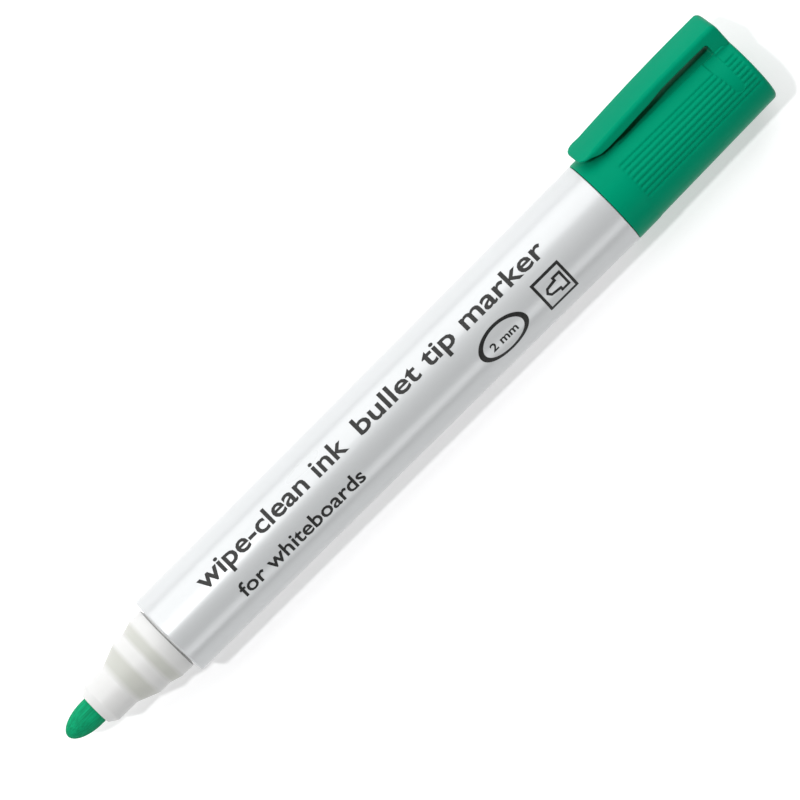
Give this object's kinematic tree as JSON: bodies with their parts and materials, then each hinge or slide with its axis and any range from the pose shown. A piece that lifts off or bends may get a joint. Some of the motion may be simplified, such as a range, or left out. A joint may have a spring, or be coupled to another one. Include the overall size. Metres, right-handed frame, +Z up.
{
  "type": "whiteboard marker",
  "caption": "Round whiteboard marker with a bullet nib, a stepped front section, a tapered barrel and a ribbed clip cap pushed onto its tail.",
  "frame": {"origin": "on the pen's axis at the barrel's front shoulder, the face the cap stops against when it covers the nib; the neck mount's rear end is 0.4 mm in front of it", "axes": "+X along the pen's axis from the nib to the cap, +Z up with the pen lying on its side, +Y to the side that the clip is on, 30 degrees above the horizontal"},
  "size_m": [0.1526, 0.0193, 0.0167],
  "materials": {
    "barrel_plastic": "pearl silver, satin moulded",
    "cap_plastic": "moulded polypropylene, soft gloss",
    "seal_plastic": "soft moulded liner",
    "front_plastic": "natural translucent polypropylene",
    "nib_fibre": "bonded fibre soaked with ink",
    "core_fibre": "polyester fibre rod soaked with ink",
    "film": "clear film sleeve"
  },
  "bodies": {
    "pen": {"barrel": "barrel_plastic", "front_section": "front_plastic", "nib": "nib_fibre", "reservoir": "core_fibre", "reservoir_wrap": "film", "end_plug": "cap_plastic"},
    "cap": {"cap_shell": "cap_plastic", "inner_cap": "seal_plastic"},
    "clip": {"clip": "cap_plastic"}
  },
  "joints": [
    {"name": "cap_slide", "type": "slide", "parent": "pen", "child": "cap", "axis": [1, 0, 0], "range_m": [0, 0.03]},
    {"name": "clip_flex", "type": "hinge", "parent": "cap", "child": "clip", "pos_m": [0.1268, 0.0089, 0.00514], "axis": [0, 0.5, -0.866], "range_deg": [0, 4], "stiffness_Nm_per_rad": 0.08}
  ]
}
